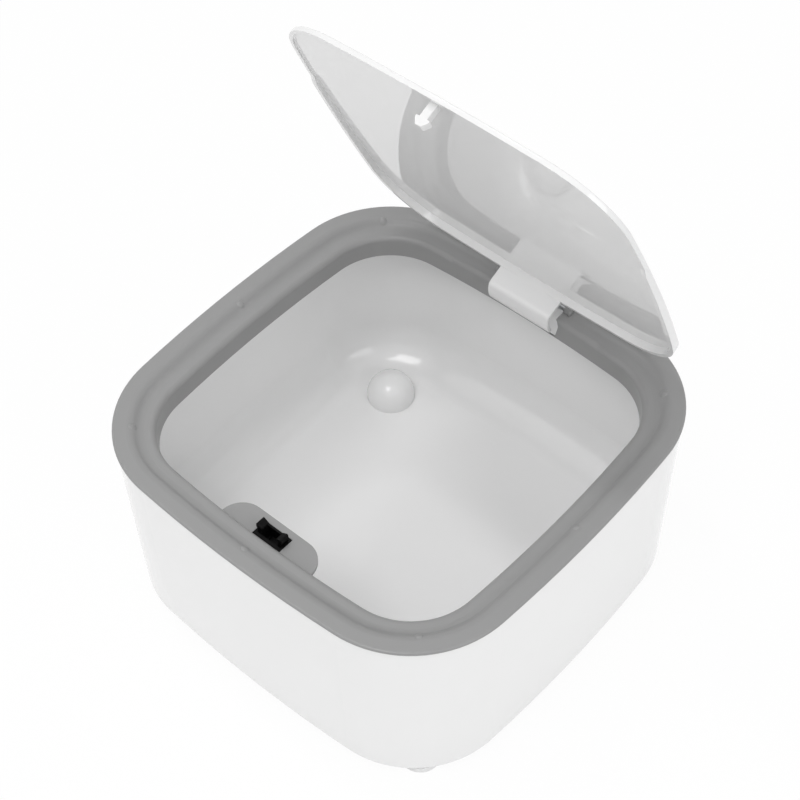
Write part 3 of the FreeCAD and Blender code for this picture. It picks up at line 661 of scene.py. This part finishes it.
def lay_floor(settings):
    """Square paper floor under the bin."""
    bpy.ops.object.select_all(action="DESELECT")
    bpy.ops.mesh.primitive_plane_add(size=settings.floor_width, location=(0, 0, 0))
    floor = bpy.context.active_object
    floor.name = "floor"
    floor.data.materials.append(floor_paper(settings.floor_glow))


def light_room(level):
    """Even white light from all round, seen at full white and weaker where it falls on things."""
    world = bpy.data.worlds.new("studio")
    world.use_nodes = True
    tree = world.node_tree
    tree.nodes.clear()
    strength = add_node(tree, "ShaderNodeMapRange", inputs={"To Min": level, "To Max": 1.0},
                        links={"Value": seen_directly(tree)})
    light = add_node(tree, "ShaderNodeBackground", inputs={"Color": (1, 1, 1, 1)},
                     links={"Strength": strength.outputs["Result"]})
    add_node(tree, "ShaderNodeOutputWorld", links={"Surface": light.outputs["Background"]})
    bpy.context.scene.world = world


def soft_lamp(name, place, size, power):
    """A soft box of a size, across and down, that faces the bin."""
    data = bpy.data.lights.new(name, "AREA")
    data.shape = "RECTANGLE"
    data.size, data.size_y = size
    data.energy = power
    lamp = bpy.data.objects.new(name, data)
    lamp.location = place
    lamp.rotation_mode = "QUATERNION"
    lamp.rotation_quaternion = (-lamp.location).to_track_quat("-Z", "Y")
    bpy.context.scene.collection.objects.link(lamp)


def place_camera(settings):
    """Camera at the photograph's view: turned round the bin and raised, rolled, then panned."""
    turned, raised, roll = settings.azimuth, settings.elevation, settings.roll
    back = Vector((math.sin(turned) * math.cos(raised), -math.cos(turned) * math.cos(raised), math.sin(raised)))
    level_right = (-back).cross(UP).normalized()
    level_up = level_right.cross(-back)
    right = math.cos(roll) * level_right + math.sin(roll) * level_up
    up = math.cos(roll) * level_up - math.sin(roll) * level_right
    aim = Vector((0, 0, settings.aim_height))
    eye = aim + back * settings.distance + right * settings.across - up * settings.down
    data = bpy.data.cameras.new("camera")
    data.sensor_width = settings.sensor
    data.lens = settings.lens
    camera = bpy.data.objects.new("camera", data)
    facing = Matrix((right, up, back)).transposed()
    camera.matrix_world = Matrix.Translation(eye) @ facing.to_4x4()
    bpy.context.scene.collection.objects.link(camera)
    bpy.context.scene.camera = camera


# Operators

class BIN_OT_body(bpy.types.Operator):
    """The white bin body"""
    bl_idname = "bin.body"
    bl_label = "Body"

    def execute(self, context):
        dress(["bin_body"], body_white())
        return {"FINISHED"}


class BIN_OT_feet(bpy.types.Operator):
    """The four feet"""
    bl_idname = "bin.feet"
    bl_label = "Feet"

    def execute(self, context):
        dress([name for name in frame["nodes"] if name.startswith("foot_")], foot_white())
        return {"FINISHED"}


class BIN_OT_collar(bpy.types.Operator):
    """The lift-off grey collar with its step's marks"""
    bl_idname = "bin.collar"
    bl_label = "Collar"

    def execute(self, context):
        finish = collar_grey()
        dress(["collar_ring"], finish)
        finish_piece(step_marks(context.scene.bin_marks), "collar", [], finish)
        return {"FINISHED"}


class BIN_OT_latch(bpy.types.Operator):
    """The black push latch"""
    bl_idname = "bin.latch"
    bl_label = "Latch"

    def execute(self, context):
        dress(["latch_housing", "latch_slider", "latch_jaw_left", "latch_jaw_right"], latch_black())
        return {"FINISHED"}


class BIN_OT_lid(bpy.types.Operator):
    """The white lid with its arm and striker"""
    bl_idname = "bin.lid"
    bl_label = "Lid"

    def execute(self, context):
        scene, finish = context.scene, lid_white()
        finish_piece(lid_moulding(scene.bin_lid), "lid", ["lid_shell"], finish)
        finish_piece(hinge_arm(scene.bin_arm, scene.bin_lid), "lid", ["hinge_arm"], finish)
        finish_piece(striker(scene.bin_striker, scene.bin_lid), "lid", ["striker"], finish)
        return {"FINISHED"}


class BIN_OT_hardware(bpy.types.Operator):
    """The steel pin and springs"""
    bl_idname = "bin.hardware"
    bl_label = "Hardware"

    def execute(self, context):
        dress(["hinge_pin", "lid_spring", "latch_spring", "latch_cam_pin"], steel())
        return {"FINISHED"}


class BIN_OT_stage(bpy.types.Operator):
    """The floor, the room's light, the lamps and the camera"""
    bl_idname = "bin.stage"
    bl_label = "Stage"

    def execute(self, context):
        settings = context.scene.bin_stage
        lay_floor(settings)
        light_room(settings.room_light)
        for lamp in LAMPS:
            soft_lamp(*lamp)
        place_camera(settings)
        context.scene.view_settings.view_transform = "Standard"
        return {"FINISHED"}


class BIN_PT_panel(bpy.types.Panel):
    """Lists the bin's pieces and the stage"""
    bl_label = "Countertop Bin"
    bl_idname = "BIN_PT_panel"
    bl_space_type = "VIEW_3D"
    bl_region_type = "UI"
    bl_category = "Bin"

    def draw(self, context):
        for group in GROUPS:
            settings = getattr(context.scene, group)
            for name in settings.__annotations__:
                self.layout.prop(settings, name)
        for operator in OPERATORS:
            self.layout.operator(operator.bl_idname)


OPERATORS = (BIN_OT_body, BIN_OT_feet, BIN_OT_collar, BIN_OT_latch, BIN_OT_lid, BIN_OT_hardware, BIN_OT_stage)
GROUPS = {"bin_finishes": BinFinishes, "bin_marks": BinMarks, "bin_lid": BinLid, "bin_arm": BinArm,
          "bin_striker": BinStriker, "bin_stage": BinStage}
CLASSES = (*GROUPS.values(), *OPERATORS, BIN_PT_panel)


def register():
    for cls in CLASSES:
        bpy.utils.register_class(cls)
    for group, kind in GROUPS.items():
        setattr(bpy.types.Scene, group, bpy.props.PointerProperty(type=kind))


def unregister():
    for group in GROUPS:
        delattr(bpy.types.Scene, group)
    for cls in reversed(CLASSES):
        bpy.utils.unregister_class(cls)


def main():
    """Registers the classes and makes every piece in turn."""
    register()
    bpy.ops.bin.body()
    bpy.ops.bin.feet()
    bpy.ops.bin.collar()
    bpy.ops.bin.latch()
    bpy.ops.bin.lid()
    bpy.ops.bin.hardware()
    bpy.ops.bin.stage()


if __name__ == "__main__":
    main()
